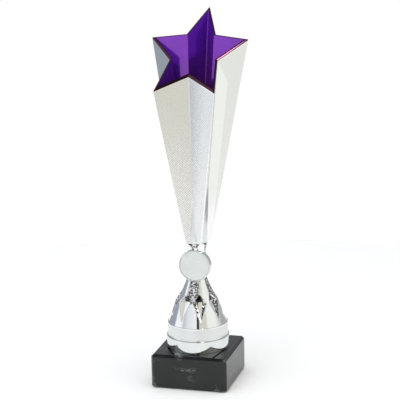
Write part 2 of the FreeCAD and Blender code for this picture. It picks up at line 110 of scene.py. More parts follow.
# Lattice bell
BELL_SHAPE = [(24.8, 51.6), (23.6, 54.2), (22.3, 57.3), (21.1, 61.3), (19.6, 65.6), (17.9, 70.8),
              (15.9, 73.6), (14.2, 76.0), (12.6, 78.7), (10.9, 82.6), (9.4, 86.2), (8.9, 87.8)]
RECESS_MIDDLE = 70.8
RECESS_RISE = 7.5
RECESS_DROP = 15.3
RECESS_TOP_RADIUS = 12.6
RECESS_MIDDLE_RADIUS = 17.9
RECESS_BOTTOM_RADIUS = 23.05
RECESS_HALF_WIDTH = 6.5
RECESS_FLOOR_RADIUS = 12.5
RECESS_FLOOR_HALF_WIDTH = 2.6
RECESS_FLOOR_BOTTOM_RADIUS = 22.45
RECESS_FLOOR_BOTTOM = 55.5
RECESS_SLOPE = (RECESS_HALF_WIDTH - RECESS_FLOOR_HALF_WIDTH) / (RECESS_MIDDLE_RADIUS - RECESS_FLOOR_RADIUS)
RECESS_LEDGE = 0.05
LEAST_OPENING = 0.05
BELL_WALL = 2.0
BELL_ROUND = 0.35
BELL_HOLLOW_RADIUS = 20.45
BELL_HOLLOW_TOP_RADIUS = 10.5
BELL_HOLLOW_TOP = 68.8
RECESS_CREASE_RADIUS = 8.95
WINDOW_RADIUS = 13.8
WINDOW_TOP_RADIUS = 11.4
WINDOW_RISE = 6.7
BELL_BOSS_RADIUS = 6.0
BELL_COLUMNS = 512
BELL_ROWS = 181
GROOVE_DEPTH = 0.7
GROOVE_HALF_WIDTH = 0.55
HAMMER_PITCH = 1.1
HAMMER_DEPTH = 0.13
HAMMER_STEEPNESS = 1.4
SPECKLES_PER_METRE = 1000.0
SPECKLE_DARK = (0.13, 0.125, 0.11)
CHROME_BRIGHT = (0.93, 0.935, 0.935)
CHROME_DULL = (0.88, 0.885, 0.885)
# Near-black painted shade for the floor of the bell's windows
WINDOW_PAINTED_SHADE = (0.012, 0.012, 0.012)

# Neck
NECK_SHAPE = [(8.9, 87.8), (8.0, 91.3), (7.3, 95.8), (7.1, 100.8), (7.3, 105.8), (8.0, 111.8),
              (8.6, 115.8), (9.2, 120.3)]
NECK_NOTCH_RADIUS = 2.4
NECK_NOTCH_DEPTH = 1.3
NECK_BORE_RADIUS = 7.4
NECK_BORE_DEPTH = 1.5
NECK_BORE_LIP = 0.2
NECK_COLUMNS = 384
NECK_ROWS = 90
HOLDER_SEAT = 5.2
SEAT_CLEARANCE = 0.12
HOLDER_CLEARANCE = 0.1

# Emblem disc
DISC_EDGE = 0.25
DISC_DISH = 0.02
DISC_EDGE_STEPS = 4
DISC_BACK_CHAMFER = 0.1
DISC_COLUMNS = 160

# Star cup and its liner
STAR_POINTS = 5
STAR_BOTTOM_TIP = 12.35
STAR_BOTTOM_VALLEY = 7.6
RIM_TIP = 43.9
RIM_VALLEY = 21.4
RIM_STRETCH = 1.074
RIM_CENTRE = 8.8
RIM_SLOPE = 0.691
RIM_HEIGHT_AT_AXIS = 272.5
CUP_WALL = 1.0
CUP_HOLLOW_BOTTOM = 151.0
LINER_INSET = 1.95
LINER_OUTSIDE = 1.15
LINER_FLOOR = 1.5
LINER_LIP = 1.2
LIP_ROUND = 0.3
LIP_SLOPE_WIDTH = 1.4
TIP_ROUND = 0.45
VALLEY_ROUND = 0.7
CORNER_STEPS = 5
FACET_STEPS = 5
CUP_ROWS = 14
CORE_BOTTOM_RADIUS = 9.1
CORE_TOP_RADIUS = 12.3
CORE_TOP = 172.8
CORE_LEAN = 2.9
CORE_COLUMNS = 128
CORE_ROWS = 10
FRONT_FACETS = (0, 9)
PURPLE_BRIGHT = (0.25, 0.045, 0.56)
PURPLE_DULL = (0.22, 0.038, 0.50)
# Painted shade deep inside the cup
PURPLE_DEEP_SHADE = (0.20, 0.05, 0.18)

# Crossed lines on the cup's facets, with painted shade in them, and the smooth margins round them; the wide
# side margins are shaped as a painted light patch
HATCH_PITCH = 1.5
HATCH_ANGLE = math.radians(48)
HATCH_DEPTH = 0.06
HATCH_BRIGHT = (0.93, 0.935, 0.93)
# Painted shade along the crossed lines
HATCH_GROOVE_SHADE = (0.78, 0.785, 0.77)
VALLEY_MARGIN = 0.8
# The side facets' wide smooth margin is shaped as the light patch that the next fin throws on them: a painted
# highlight, left bright by the painted groove shade round it
SIDE_LIT_MARGIN = 6.0
SIDE_LIT_MARGIN_SHARE = 0.22
SIDE_LIT_MARGIN_SLANT = 0.48

# Marble
VEIN_SHIFT = (0.0, 0.0, 0.006)
VEIN_COLOUR = (0.30, 0.30, 0.28)

# Camera, in metres and degrees
CAMERA_LENS = 145.9
CAMERA_DISTANCE = 1.3458
CAMERA_ELEVATION = 13.92
CAMERA_AZIMUTH = 15.64
CAMERA_ROLL = -1.08
CAMERA_AIM = Vector((0.0037, 0.0, 0.1559))


# ---------------------------------------------------------------- mesh helpers

def polar(radius, degrees, height):
    """Point at an angle about the axis."""
    angle = math.radians(degrees)
    return Vector((radius * math.sin(angle), -radius * math.cos(angle), height))


def finished(name, bm, materials, node, sharp=38):
    """Object from a bmesh in millimetres, shaded smooth up to an angle, that stands for a CAD node."""
    bmesh.ops.recalc_face_normals(bm, faces=bm.faces)
    bmesh.ops.scale(bm, vec=(MM, MM, MM), verts=bm.verts)
    mesh = bpy.data.meshes.new(name)
    bm.to_mesh(mesh)
    bm.free()
    mesh.shade_smooth()
    mesh.set_sharp_from_angle(angle=math.radians(sharp))
    for material in materials:
        mesh.materials.append(material)
    piece = bpy.data.objects.new(name, mesh)
    bpy.context.scene.collection.objects.link(piece)
    weighted = piece.modifiers.new("face_normals", "WEIGHTED_NORMAL")
    weighted.keep_sharp = True
    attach(piece, "root")
    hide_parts(node)
    return piece


def add_grid(bm, loops, closed):
    """Quads between closed loops of points; a closed grid also joins its last loop to its first."""
    rings = [[bm.verts.new(point) for point in loop] for loop in loops]
    pairs = list(zip(rings, rings[1:]))
    if closed:
        pairs.append((rings[-1], rings[0]))
    faces = []
    for lower, upper in pairs:
        count = len(lower)
        for index in range(count):
            after = (index + 1) % count
            faces.append(bm.faces.new((lower[index], lower[after], upper[after], upper[index])))
    return rings, faces


def add_turned(bm, section, columns):
    """Ring whose closed (radius, height) section may change with the angle."""
    loops = []
    for column in range(columns):
        degrees = 360.0 * column / columns
        loops.append([polar(radius, degrees, height) for radius, height in section(degrees)])
    return add_grid(bm, loops, True)


def facing_front(radius, front):
    """Circle about the emblem's axis, at a distance in front of the column's axis."""
    points = []
    for column in range(DISC_COLUMNS):
        angle = 2 * math.pi * column / DISC_COLUMNS
        points.append(Vector((radius * math.cos(angle), -front, EMBLEM_HEIGHT + radius * math.sin(angle))))
    return points


def smallest(first, second, blend):
    """The smaller of two lengths, with a rounded change from one to the other."""
    overlap = max(blend - abs(first - second), 0.0) / blend
    return min(first, second) - overlap * overlap * blend / 4


def largest(first, second, blend):
    """The larger of two lengths, with a rounded change from one to the other."""
    return -smallest(-first, -second, blend)


def profile_radius(shape, height):
    """Radius at a height on a smooth curve through (radius, height) points."""
    last = len(shape) - 1
    index = 0
    while index < last - 1 and height > shape[index + 1][1]:
        index += 1
    (start, low), (end, high) = shape[index], shape[index + 1]
    before = shape[max(index - 1, 0)]
    after = shape[min(index + 2, last)]
    span = high - low
    start_slope = (end - before[0]) / (high - before[1]) * span
    end_slope = (after[0] - start) / (after[1] - low) * span
    share = min(max((height - low) / span, 0.0), 1.0)
    square = share * share
    cube = square * share
    return ((2 * cube - 3 * square + 1) * start + (cube - 2 * square + share) * start_slope
            + (3 * square - 2 * cube) * end + (cube - square) * end_slope)


def wrapped(degrees, period):
    """Signed distance from the nearest multiple of a period."""
    return (degrees + period / 2) % period - period / 2


# ---------------------------------------------------------------- shader helpers

class Tree:
    """Short ways to add nodes to a material or world."""

    def __init__(self, owner):
        """Starts from the node tree of a material or world."""
        owner.use_nodes = True
        self.nodes = owner.node_tree.nodes
        self.links = owner.node_tree.links

    def put(self, socket, value):
        """Sets a socket to a number or colour, or links another socket into it."""
        if isinstance(value, bpy.types.NodeSocket):
            self.links.new(value, socket)
        elif isinstance(value, tuple) and len(value) == 3 and len(socket.default_value) == 4:
            socket.default_value = (*value, 1.0)
        else:
            socket.default_value = value

    def add(self, kind, inputs=(), output=0, **settings):
        """Adds a node and returns one of its outputs; inputs are (name or index, value) pairs."""
        node = self.nodes.new(kind)
        for key, value in settings.items():
            setattr(node, key, value)
        for key, value in inputs:
            self.put(node.inputs[key], value)
        return node.outputs[output]

    def math(self, operation, *values):
        """Math node."""
        return self.add("ShaderNodeMath", list(enumerate(values)), operation=operation)

    def position(self):
        """Place on the piece, in metres, as it was made."""
        return self.add("ShaderNodeTexCoord", output="Object")

    def noise(self, scale, detail=2.0, vector=None, roughness=0.5):
        """Noise from 0 to 1 with about scale lumps in a metre."""
        place = vector or self.position()
        return self.add("ShaderNodeTexNoise", [
            ("Vector", place), ("Scale", scale), ("Detail", detail), ("Roughness", roughness)])

    def spread(self, value, low, high, to_low=0.0, to_high=1.0, smooth=False):
        """Maps a range of a value onto another one, held at its ends."""
        return self.add("ShaderNodeMapRange", [
            ("Value", value), ("From Min", low), ("From Max", high), ("To Min", to_low), ("To Max", to_high)],
            interpolation_type="SMOOTHSTEP" if smooth else "LINEAR")

    def mix(self, share, first, second):
        """Colour between two others."""
        node = self.nodes.new("ShaderNodeMix")
        node.data_type = "RGBA"
        self.put(node.inputs[0], share)
        self.put(node.inputs[6], first)
        self.put(node.inputs[7], second)
        return node.outputs[2]

    def bump(self, height, strength, distance):
        """Surface normal moved by a height."""
        return self.add("ShaderNodeBump", [
            ("Height", height), ("Strength", strength), ("Distance", distance)])


def new_material(name):
    """Material with its Tree and its Principled node."""
    material = bpy.data.materials.new(name)
    tree = Tree(material)
    return material, tree, tree.nodes["Principled BSDF"]


def clouded(tree, bright, dull):
    """Colour that drifts between two close tints."""
    return tree.mix(tree.spread(tree.noise(60.0, 3.0), 0.35, 0.65), bright, dull)


def smudged(tree, smooth, rough):
    """Roughness that drifts between two values."""
    return tree.spread(tree.noise(220.0, 4.0), 0.3, 0.7, smooth, rough)


def metal(name, bright, dull, smooth, rough, ripple, metallic=1.0):
    """Plated plastic or metal: two close tints, uneven polish and a faint unevenness of the surface."""
    material, tree, shader = new_material(name)
    shader.inputs["Metallic"].default_value = metallic
    tree.put(shader.inputs["Base Color"], clouded(tree, bright, dull))
    tree.put(shader.inputs["Roughness"], smudged(tree, smooth, rough))
    tree.put(shader.inputs["Normal"], tree.bump(tree.noise(500.0, 2.0), ripple, 0.0001))
    return material, tree, shader


def chrome_material():
    """Mirror-bright plating of the bell and neck: speckled where hammered, and near-black where the windows
    open, as painted shade of the hollow.
    """
    material, tree, shader = new_material("chrome")
    cells = tree.add("ShaderNodeTexVoronoi",
                     [("Vector", tree.position()), ("Scale", SPECKLES_PER_METRE)], "Color")
    chance = tree.add("ShaderNodeSeparateXYZ", [(0, cells)])
    hammered = tree.add("ShaderNodeAttribute", output="Fac", attribute_name="hammered")
    inside = tree.add("ShaderNodeAttribute", output="Fac", attribute_name="inside")
    speckle = tree.math("MULTIPLY", tree.spread(chance, 0.3, 0.65), hammered)
    tint = tree.mix(speckle, clouded(tree, CHROME_BRIGHT, CHROME_DULL), SPECKLE_DARK)
    # Painted shade: where the windows open the bell is near-black, unmetallic and rough, standing for the
    # shaded hollow
    tree.put(shader.inputs["Base Color"], tree.mix(inside, tint, WINDOW_PAINTED_SHADE))
    tree.put(shader.inputs["Metallic"], tree.math("SUBTRACT", 1.0, inside))
    shader.inputs["Specular IOR Level"].default_value = 0.05
    tree.put(shader.inputs["Roughness"], tree.math("MULTIPLY_ADD", inside, 0.5, smudged(tree, 0.03, 0.08)))
    tree.put(shader.inputs["Normal"], tree.bump(tree.noise(500.0, 2.0), 0.05, 0.0001))
    return material


def bright_silver_material():
    """Smooth bright plating of the foot, the emblem's holder and the cup's core."""
    return metal("bright_silver", (0.77, 0.795, 0.79), (0.72, 0.745, 0.74), 0.08, 0.16, 0.08)[0]


def knurled_silver_material():
    """Bright plating of the band, with painted shade in the bottom of its crossed grooves."""
    material, tree, shader = metal("knurled_silver", KNURL_BRIGHT, KNURL_BRIGHT, 0.12, 0.2, 0.08)
    parts = tree.add("ShaderNodeSeparateXYZ", [(0, tree.position())]).node.outputs
    around = tree.math("SQRT", tree.math("ADD", tree.math("MULTIPLY", parts["X"], parts["X"]),
                                         tree.math("MULTIPLY", parts["Y"], parts["Y"])))
    depth = tree.math("SUBTRACT", BAND_RADIUS * MM, around)
    # Painted shade: the base colour darkens with the depth of the grooves
    groove_shade = tree.spread(depth, KNURL_DEPTH * KNURL_LEAST_SHARE * MM, KNURL_DEPTH * MM)
    tree.put(shader.inputs["Base Color"], tree.mix(groove_shade, KNURL_BRIGHT, KNURL_GROOVE_SHADE))
    return material


def hatched_silver_material(name, wide_lit_margin):
    """Silver plating over fine crossed lines with painted shade in them, and smooth margins; the wide one
    lies beside the valley, shaped and left bright as a painted light patch.
    """
    material, tree, shader = new_material(name)
    shader.inputs["Metallic"].default_value = 1.0
    facet = tree.add("ShaderNodeUVMap", uv_map="facet")
    place = tree.add("ShaderNodeSeparateXYZ", [(0, facet)]).node.outputs
    edges = tree.add("ShaderNodeUVMap", uv_map="edges")
    away = tree.add("ShaderNodeSeparateXYZ", [(0, edges)]).node.outputs
    from_tip, from_valley = away["X"], away["Y"]
    turns = 2 * math.pi / (HATCH_PITCH * MM)
    waves = []
    for side in (-1, 1):
        slant = tree.math("ADD", tree.math("MULTIPLY", place["X"], turns * math.cos(HATCH_ANGLE)),
                          tree.math("MULTIPLY", place["Y"], side * turns * math.sin(HATCH_ANGLE)))
        waves.append(tree.math("ABSOLUTE", tree.math("SINE", tree.math("MULTIPLY", slant, 0.5))))
    pattern = tree.math("MINIMUM", *waves)
    parts = tree.add("ShaderNodeSeparateXYZ", [(0, tree.position())]).node.outputs
    rim = tree.math("MULTIPLY_ADD", parts["Y"], RIM_SLOPE, (RIM_HEIGHT_AT_AXIS - LINER_LIP) * MM)
    depth = tree.math("SUBTRACT", rim, parts["Z"])
    margin = VALLEY_MARGIN * MM
    # Painted highlight: on the side facets the margin widens into the shape of a light patch, kept clear of
    # the painted groove shade
    if wide_lit_margin:
        width = tree.math("ADD", from_tip, from_valley)
        margin = tree.math("MULTIPLY_ADD", width, SIDE_LIT_MARGIN_SHARE, SIDE_LIT_MARGIN * MM)
        margin = tree.math("MINIMUM", margin, tree.math("MULTIPLY", depth, SIDE_LIT_MARGIN_SLANT))
        margin = tree.math("MAXIMUM", margin, VALLEY_MARGIN * MM)
    past = tree.math("SUBTRACT", from_valley, margin)
    inside = tree.math("MULTIPLY", tree.spread(from_tip, 0.9 * MM, 1.3 * MM, smooth=True),
                       tree.spread(past, 0.0, 0.4 * MM, smooth=True))
    inside = tree.math("MULTIPLY", inside, tree.spread(depth, 0.8 * MM, 1.2 * MM, smooth=True))
    height = tree.math("MULTIPLY", pattern, inside)
    tree.put(shader.inputs["Normal"], tree.bump(height, 1.0, HATCH_DEPTH * MM))
    # Painted shade: the base colour darkens along the crossed lines, standing for the shade in their grooves
    shade = tree.math("MULTIPLY", inside, tree.spread(pattern, 0.15, 0.75, 1.0, 0.35))
    tree.put(shader.inputs["Base Color"], tree.mix(shade, HATCH_BRIGHT, HATCH_GROOVE_SHADE))
    polish = tree.spread(inside, 0.0, 1.0, 0.11, 0.20)
    tree.put(shader.inputs["Roughness"], tree.math("ADD", polish, smudged(tree, -0.03, 0.03)))
    return material


def purple_material():
    """Purple metallised plastic of the liner, with painted shade that makes it darker and redder deep inside.
    """
    material, tree, shader = metal("purple_metal", PURPLE_BRIGHT, PURPLE_DULL, 0.07, 0.14, 0.06, 0.75)
    tint = clouded(tree, PURPLE_BRIGHT, PURPLE_DULL)
    parts = tree.add("ShaderNodeSeparateXYZ", [(0, tree.position())]).node.outputs
    rim = tree.math("MULTIPLY_ADD", parts["Y"], RIM_SLOPE, RIM_HEIGHT_AT_AXIS * MM)
    depth = tree.math("SUBTRACT", rim, parts["Z"])
    # Painted shade: the colour turns darker and redder with the depth below the rim
    tree.put(shader.inputs["Base Color"], tree.mix(tree.spread(depth, 15 * MM, 75 * MM), tint, PURPLE_DEEP_SHADE))
    shader.inputs["Coat Weight"].default_value = 0.5
    shader.inputs["Coat Roughness"].default_value = 0.06
    return material


def lip_material():
    """The liner's lip, where the purple film is thin over its dark edge."""
    return metal("purple_lip", (0.09, 0.035, 0.055), (0.07, 0.028, 0.045), 0.05, 0.09, 0.04)[0]


def disc_material():
    """Satin metal of the blank emblem disc, with a fine turned grain."""
    material, tree, shader = metal("satin_disc", (0.76, 0.79, 0.765), (0.72, 0.75, 0.73), 0.26, 0.36, 0.1)
    place = tree.add("ShaderNodeVectorMath", [(0, tree.position()), (1, (0.0, 0.0, EMBLEM_HEIGHT * MM))],
                     operation="SUBTRACT")
    distance = tree.add("ShaderNodeVectorMath", [(0, place)], "Value", operation="LENGTH")
    ring = tree.add("ShaderNodeTexNoise", [("W", distance), ("Scale", 9000.0), ("Detail", 2.0)],
                    noise_dimensions="1D")
    strength = tree.spread(distance, 1.0 * MM, 4.0 * MM, 0.0, 0.25)
    tree.put(shader.inputs["Normal"], tree.bump(ring, strength, 0.00004))
    return material


def marble_material():
    """Polished black marble with a few pale broken veins and specks."""
    material, tree, shader = new_material("black_marble")
    place = tree.position()
    drift = tree.add("ShaderNodeTexNoise", [("Vector", place), ("Scale", 45.0), ("Detail", 3.0)], "Color")
    bent = tree.add("ShaderNodeVectorMath", [(0, drift), (1, (0.03, 0.03, 0.02)), (2, place)],
                    operation="MULTIPLY_ADD")
    flat = tree.add("ShaderNodeMapping",
                    [("Vector", bent), ("Location", VEIN_SHIFT), ("Scale", (1.0, 1.0, 2.6))])
    cluster = tree.spread(tree.noise(42.0, 2.0, flat), 0.52, 0.64, smooth=True)
    grain = tree.spread(tree.noise(420.0, 6.0, flat, 0.7), 0.48, 0.66)
    vein = tree.math("MULTIPLY", cluster, grain)
    specks = tree.spread(tree.noise(900.0, 2.0, place), 0.70, 0.78)
    marks = tree.math("MINIMUM", tree.math("ADD", tree.math("MULTIPLY", vein, 0.9),
                                           tree.math("MULTIPLY", specks, 0.35)), 1.0)
    cloud = tree.mix(tree.spread(tree.noise(70.0, 5.0, bent), 0.3, 0.7), (0.0035, 0.004, 0.004),
                     (0.010, 0.011, 0.011))
    tree.put(shader.inputs["Base Color"], tree.mix(marks, cloud, VEIN_COLOUR))
    tree.put(shader.inputs["Roughness"], tree.spread(tree.noise(260.0, 4.0), 0.3, 0.7, 0.03, 0.08))
    tree.put(shader.inputs["Normal"], tree.bump(tree.noise(700.0, 2.0), 0.03, 0.0001))
    shader.inputs["IOR"].default_value = 1.46
    return material


def foam_material():
    """Black closed-cell foam of the pad."""
    material, tree, shader = new_material("pad_foam")
    cells = tree.add("ShaderNodeTexVoronoi", [("Vector", tree.position()), ("Scale", 1800.0)], "Distance")
    tree.put(shader.inputs["Base Color"], tree.mix(cells, (0.010, 0.010, 0.011), (0.028, 0.028, 0.03)))
    tree.put(shader.inputs["Roughness"], tree.spread(cells, 0.0, 1.0, 0.95, 0.75))
    tree.put(shader.inputs["Normal"], tree.bump(cells, 0.6, 0.0003))
    return material


def tape_material():
    """White foam adhesive pad behind the emblem."""
    material, tree, shader = new_material("adhesive_pad")
    cells = tree.add("ShaderNodeTexVoronoi", [("Vector", tree.position()), ("Scale", 2500.0)], "Distance")
    tree.put(shader.inputs["Base Color"], tree.mix(cells, (0.78, 0.78, 0.76), (0.66, 0.66, 0.64)))
    tree.put(shader.inputs["Roughness"], tree.spread(cells, 0.0, 1.0, 0.7, 0.9))
    tree.put(shader.inputs["Normal"], tree.bump(cells, 0.4, 0.0002))
    return material


# ---------------------------------------------------------------- foot and band

def hem_height(degrees):
    """Height of the foot's scalloped lower edge at an angle."""
    half_turn = 180.0 / FOOT_LOBES
    half_chord = FOOT_RADIUS * math.sin(math.radians(half_turn))
    rise = FOOT_CUSP_HEIGHT - FOOT_HEM_CLEARANCE
    lobe_radius = (half_chord ** 2 + rise ** 2) / (2 * rise)
    aside = FOOT_RADIUS * math.sin(math.radians(wrapped(degrees - FOOT_TURN, 2 * half_turn)))
    lift = lobe_radius - math.sqrt(lobe_radius ** 2 - aside ** 2)
    return FOOT_BOTTOM + FOOT_HEM_CLEARANCE + lift


def rounded_step(radius, height, radius_step, height_step, steps=4):
    """Quarter-round from (radius - radius_step, height) to (radius, height + height_step) or back."""
    points = []
    for index in range(steps + 1):
        angle = math.pi / 2 * index / steps
        inwards = radius_step * (1 - math.sin(angle))
        upwards = height_step * (1 - math.cos(angle))
        points.append((radius - inwards, height + upwards))
    return points


def foot_section(degrees):
    """Closed section of the foot: plain wall, hanging lobe over it, and top web."""
    hem = hem_height(degrees)
    outer = FOOT_RADIUS
    inner = FOOT_RADIUS - FOOT_WALL
    plain = FOOT_RADIUS - FOOT_LOBE_RELIEF
    web_bottom = BAND_BOTTOM - FOOT_WEB
    section = [(plain - FOOT_LOWER_EDGE, FOOT_BOTTOM), (plain, FOOT_BOTTOM + FOOT_LOWER_EDGE), (plain, hem)]
    section += rounded_step(outer, hem, FOOT_EDGE, FOOT_EDGE)
    top = BAND_BOTTOM - FOOT_EDGE
    for row in range(1, FOOT_ROWS):
        section.append((outer, hem + FOOT_EDGE + (top - hem - FOOT_EDGE) * row / FOOT_ROWS))
    section += [(radius, 2 * BAND_BOTTOM - height)
                for radius, height in reversed(rounded_step(outer, BAND_BOTTOM, FOOT_EDGE, FOOT_EDGE))]
    section += [(ROD_CLEARANCE_RADIUS, BAND_BOTTOM), (ROD_CLEARANCE_RADIUS, web_bottom),
                (inner, web_bottom), (inner, FOOT_BOTTOM)]
    return section


def add_foot(material):
    """Foot ring with its scalloped hem."""
    bm = bmesh.new()
    add_turned(bm, foot_section, FOOT_COLUMNS)
    return finished("foot_ring_shell", bm, [material], "foot_ring")


def knurl(degrees, height):
    """Depth of the crossed grooves of the band at a place on it, from 0 to 1."""
    around = degrees / 360.0 * KNURL_COUNT
    up = height / KNURL_HEIGHT
    first = abs(wrapped(around + up, 1.0)) * 2
    second = abs(wrapped(around - up, 1.0)) * 2
    return 1.0 - min(first, second)


def band_section(degrees):
    """Closed section of the knurled band."""
    outer = BAND_RADIUS
    low = BAND_BOTTOM + BAND_LIP
    high = BELL_BOTTOM - BAND_LIP
    section = rounded_step(outer, BAND_BOTTOM, BAND_EDGE, BAND_EDGE, 3)
    section.append((outer, low))
    for row in range(KNURL_ROWS + 1):
        height = low + KNURL_DEPTH + (high - low - 2 * KNURL_DEPTH) * row / KNURL_ROWS
        share = KNURL_LEAST_SHARE + (1.0 - KNURL_LEAST_SHARE) * knurl(degrees, height)
        section.append((outer - KNURL_DEPTH * share, height))
    section.append((outer, high))
    section += [(radius, BELL_BOTTOM + BAND_BOTTOM - height)
                for radius, height in reversed(rounded_step(outer, BAND_BOTTOM, BAND_EDGE, BAND_EDGE, 3))]
    inner = outer - BAND_WALL
    web_bottom = BELL_BOTTOM - BAND_WEB
    section += [(ROD_CLEARANCE_RADIUS, BELL_BOTTOM), (ROD_CLEARANCE_RADIUS, web_bottom),
                (inner, web_bottom), (inner, BAND_BOTTOM)]
    return section


def add_band(material):
    """Band with its knurl cut into the mesh."""
    bm = bmesh.new()
    add_turned(bm, band_section, KNURL_COUNT * KNURL_STEPS)
    return finished("knurled_band_ring", bm, [material], "knurled_band", 60)


# ---------------------------------------------------------------- bell and neck

def hammer(degrees, radius, height):
    """Depth of the dimples of a hammered surface, from 0 to 1."""
    place = polar(radius, degrees, height) / HAMMER_PITCH
    distances = noise.voronoi(place)[0]
    return 1.0 - min(distances[0] * HAMMER_STEEPNESS, 1.0) ** 2


def hammered_share(degrees):
    """1 on the four hammered legs, 0 on the smooth ones between them."""
    off = abs(wrapped(degrees, HAMMERED_PITCH))
    return min(max(HAMMERED_HALF_ANGLE - off, 0.0), 1.0)


def groove_depth(degrees, radius):
    """Depth of the upright V grooves between the legs."""
    aside = abs(math.radians(wrapped(degrees - LEG_PITCH / 2, LEG_PITCH))) * radius
    return GROOVE_DEPTH * max(1.0 - aside / GROOVE_HALF_WIDTH, 0.0)


def clear_of_holder(radius, degrees, height):
    """Radius cut back to the flat that the emblem holder's plate sits on."""
    facing = math.cos(math.radians(degrees))
    point = polar(radius, degrees, height)
    seat = HOLDER_SEAT - SEAT_CLEARANCE
    off_centre = math.hypot(point.x, height - EMBLEM_HEIGHT)
    if facing > 0 and -point.y > seat and off_centre < HOLDER_RADIUS + HOLDER_CLEARANCE:
        return seat / facing
    return radius


def recess_half_width(radius):
    """Half the width of a recess where its flat side walls reach a radius."""
    return RECESS_FLOOR_HALF_WIDTH + (radius - RECESS_FLOOR_RADIUS) * RECESS_SLOPE


def recess_wall(degrees, above):
    """Radius of the side wall of a recess at a height above its middle, or None beside the recess."""
    if above > 0:
        reach = RECESS_RISE / recess_half_width(RECESS_TOP_RADIUS)
    else:
        reach = RECESS_DROP / recess_half_width(RECESS_BOTTOM_RADIUS)
    narrowing = abs(above) / reach
    angle = math.radians(abs(wrapped(degrees - LEG_PITCH / 2, LEG_PITCH)))
    opening = math.cos(angle) - math.sin(angle) / RECESS_SLOPE
    if opening <= LEAST_OPENING:
        return None
    return (RECESS_FLOOR_RADIUS + (narrowing - RECESS_FLOOR_HALF_WIDTH) / RECESS_SLOPE) / opening


def recess_floor(above):
    """Radius of the sloping floor of a recess, or of the crease of its walls above the middle."""
    if above > RECESS_LEDGE:
        return RECESS_CREASE_RADIUS
    slope = (RECESS_FLOOR_BOTTOM_RADIUS - RECESS_FLOOR_RADIUS) / (RECESS_MIDDLE - RECESS_FLOOR_BOTTOM)
    return min(RECESS_FLOOR_RADIUS - above * slope, RECESS_FLOOR_BOTTOM_RADIUS)


def window_radius(above):
    """Radius inside which a recess is open to the hollow bell, at a height above its middle."""
    if above < RECESS_LEDGE or above > WINDOW_RISE:
        return 0.0
    return WINDOW_RADIUS + (WINDOW_TOP_RADIUS - WINDOW_RADIUS) * above / WINDOW_RISE


def bell_surface(degrees, height):
    """Radius of the bell at a place, how far it is hammered, and whether a window opens there."""
    body = profile_radius(BELL_SHAPE, height)
    above = height - RECESS_MIDDLE
    wall = recess_wall(degrees, above)
    radius = body
    textured = above > 0
    if wall is not None:
        if wall < window_radius(above):
            # The window's floor at the boss radius is coloured near-black as painted shade of the hollow
            return BELL_BOSS_RADIUS, 0.0, 1.0
        floor = recess_floor(above)
        cut = largest(wall, floor, BELL_ROUND)
        radius = smallest(body, cut, BELL_ROUND)
        if cut < body:
            textured = wall > floor
    if above > RECESS_RISE:
        radius -= groove_depth(degrees, radius)
    hammered = hammered_share(degrees) if textured else 0.0
    radius -= HAMMER_DEPTH * hammered * hammer(degrees, radius, height)
    return clear_of_holder(radius, degrees, height), hammered, 0.0


def bell_section(degrees):
    """Closed section of the hollow bell."""
    section = []
    for row in range(BELL_ROWS + 1):
        height = BELL_BOTTOM + (BELL_TOP - BELL_BOTTOM) * row / BELL_ROWS
        section.append((bell_surface(degrees, height)[0], height))
    section += [(ROD_CLEARANCE_RADIUS, BELL_TOP), (ROD_CLEARANCE_RADIUS, BELL_HOLLOW_TOP),
                (BELL_HOLLOW_TOP_RADIUS, BELL_HOLLOW_TOP - BELL_WALL),
                (BELL_HOLLOW_RADIUS, RECESS_FLOOR_BOTTOM - BELL_WALL), (BELL_HOLLOW_RADIUS, BELL_BOTTOM)]
    return section


def add_bell(material):
    """Hollow bell that notes for its material where it is hammered and where it is open, which the material
    paints with shade.
    """
    bm = bmesh.new()
    for name in ("hammered", "inside"):
        bm.verts.layers.float.new(name)
    hammered = bm.verts.layers.float["hammered"]
    inside = bm.verts.layers.float["inside"]
    rings, _ = add_turned(bm, bell_section, BELL_COLUMNS)
    for column, ring in enumerate(rings):
        degrees = 360.0 * column / BELL_COLUMNS
        for vertex in ring[:BELL_ROWS + 1]:
            _, vertex[hammered], vertex[inside] = bell_surface(degrees, vertex.co.z)
    return finished("lattice_bell_shell", bm, [material], "lattice_bell", 50)


def neck_section(degrees):
    """Closed section of the fluted neck with its scalloped top edge."""
    off = wrapped(degrees - LEG_PITCH / 2, LEG_PITCH)
    aside = abs(math.radians(off)) * profile_radius(NECK_SHAPE, NECK_TOP)
    notch_centre = NECK_TOP + NECK_NOTCH_RADIUS - NECK_NOTCH_DEPTH
    top = NECK_TOP
    if aside < NECK_NOTCH_RADIUS:
        top = min(top, notch_centre - math.sqrt(NECK_NOTCH_RADIUS ** 2 - aside ** 2))
    section = []
    for row in range(NECK_ROWS + 1):
        height = BELL_TOP + (top - BELL_TOP) * row / NECK_ROWS
        radius = profile_radius(NECK_SHAPE, height)
        radius -= groove_depth(degrees, radius)
        radius -= HAMMER_DEPTH * hammered_share(degrees) * hammer(degrees, radius, height)
        section.append((clear_of_holder(radius, degrees, height), height))
    section += [(NECK_BORE_RADIUS, top), (NECK_BORE_RADIUS, NECK_TOP - NECK_NOTCH_DEPTH - NECK_BORE_LIP),
                (ROD_CLEARANCE_RADIUS, NECK_TOP - NECK_BORE_DEPTH), (ROD_CLEARANCE_RADIUS, BELL_TOP)]
    return section


def add_neck(material):
    """Fluted neck that notes for its material where it is hammered."""
    bm = bmesh.new()
    hammered = bm.verts.layers.float.new("hammered")
    rings, _ = add_turned(bm, neck_section, NECK_COLUMNS)
    for column, ring in enumerate(rings):
        for vertex in ring[:NECK_ROWS + 1]:
            vertex[hammered] = hammered_share(360.0 * column / NECK_COLUMNS)
    return finished("neck_collar_shell", bm, [material], "neck_collar", 50)


# ---------------------------------------------------------------- emblem

